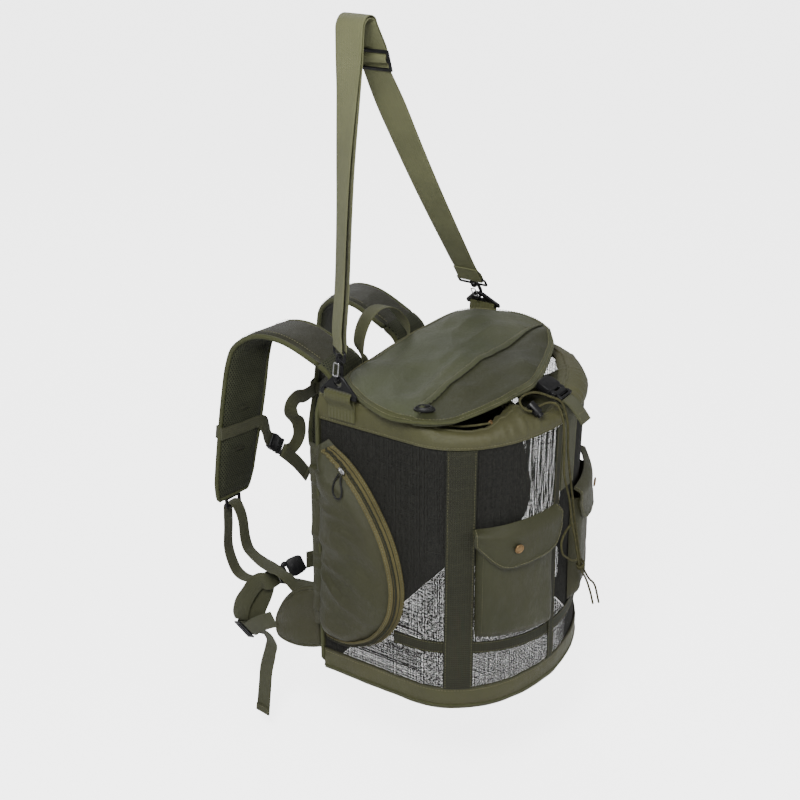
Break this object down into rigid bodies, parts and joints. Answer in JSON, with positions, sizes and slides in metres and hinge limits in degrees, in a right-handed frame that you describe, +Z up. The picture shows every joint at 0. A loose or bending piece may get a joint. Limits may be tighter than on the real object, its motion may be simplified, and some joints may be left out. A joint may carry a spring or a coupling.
{
  "type": "foraging backpack",
  "caption": "Open net rucksack with cloth rim, flat lid, zipped and snapped pockets, padded shoulder straps, waist strap and a long clip-on carry strap.",
  "frame": {"origin": "the point it hangs from, under the top bend of the carry strap", "axes": "+X to the right seen from the front, +Y towards the wearer's back panel, +Z up"},
  "size_m": [0.3912, 0.5197, 1.0298],
  "materials": {
    "cloth_olive": "plain weave cloth, matt",
    "webbing_olive": "ribbed webbing, matt",
    "webbing_dark": "flat webbing, matt",
    "net_black": "fine open net",
    "binding_olive": "folded tape, faint sheen",
    "cord_olive": "braided cord",
    "plastic_black": "moulded, slightly glossy edges",
    "rubber_black": "soft moulded",
    "wire_steel": "bright wire",
    "brass_snap": "satin"
  },
  "bodies": {
    "bag": {"back_panel": "cloth_olive", "bottom_band": "cloth_olive", "buckle_anchor": "webbing_olive", "buckle_tail": "webbing_olive", "carry_strap": "webbing_olive", "centre_tape": "webbing_dark", "chest_buckle": "plastic_black", "chest_loop_left": "webbing_olive", "chest_loop_right": "webbing_olive", "chest_webbing": "webbing_olive", "collar": "cloth_olive", "cord_knot": "cord_olive", "cord_lock": "plastic_black", "drawcord": "cord_olive", "drawcord_gap": "cord_olive", "drawcord_loop": "cord_olive", "front_pocket_left": "cloth_olive", "front_pocket_right": "cloth_olive", "front_strip_left": "webbing_dark", "front_strip_right": "webbing_dark", "grab_handle": "webbing_olive", "hip_belt_left": "webbing_olive", "hip_buckle": "plastic_black", "hip_slider": "plastic_black", "hip_web_left": "webbing_olive", "hip_web_right": "webbing_olive", "hip_wing_left": "cloth_olive", "hip_wing_right": "cloth_olive", "hook_left": "plastic_black", "hook_right": "plastic_black", "level_band": "webbing_dark", "lid": "cloth_olive", "lid_buckle": "plastic_black", "lid_port": "rubber_black", "lower_webbing_left": "webbing_olive", "lower_webbing_right": "webbing_olive", "mesh_floor": "net_black", "mesh_wall": "net_black", "pad_lock_left": "plastic_black", "pad_lock_right": "plastic_black", "pocket_flap_left": "cloth_olive", "pocket_flap_right": "cloth_olive", "ring_left": "plastic_black", "ring_right": "plastic_black", "ring_tab_left": "webbing_olive", "ring_tab_right": "webbing_olive", "shoulder_strap_left": "cloth_olive", "shoulder_strap_right": "cloth_olive", "side_pocket_left": "cloth_olive", "side_pocket_right": "cloth_olive", "snap_left": "brass_snap", "snap_right": "brass_snap", "strap_slider": "plastic_black", "zip_pull": "rubber_black", "zip_slider": "wire_steel", "zip_tape_left": "binding_olive", "zip_tape_right": "binding_olive"},
    "gate_left": {"hook_gate_left": "wire_steel"},
    "gate_right": {"hook_gate_right": "wire_steel"},
    "lock_button": {"cord_lock_plunger": "plastic_black"}
  },
  "joints": [
    {"name": "gate_left_hinge", "type": "hinge", "parent": "bag", "child": "gate_left", "pos_m": [-0.05703, -0.0025, -0.41068], "axis": [0, -1, 0], "range_deg": [0, 24], "stiffness_Nm_per_rad": 0.05, "springref_deg": -17.19},
    {"name": "gate_right_hinge", "type": "hinge", "parent": "bag", "child": "gate_right", "pos_m": [0.27848, -0.0025, -0.4146], "axis": [0, -1, 0], "range_deg": [0, 24], "stiffness_Nm_per_rad": 0.05, "springref_deg": -17.19},
    {"name": "lock_button_slide", "type": "slide", "parent": "bag", "child": "lock_button", "axis": [0, 0.8, 0.6], "range_m": [0, 0.0035], "stiffness_N_per_m": 300, "springref_m": -0.004}
  ]
}
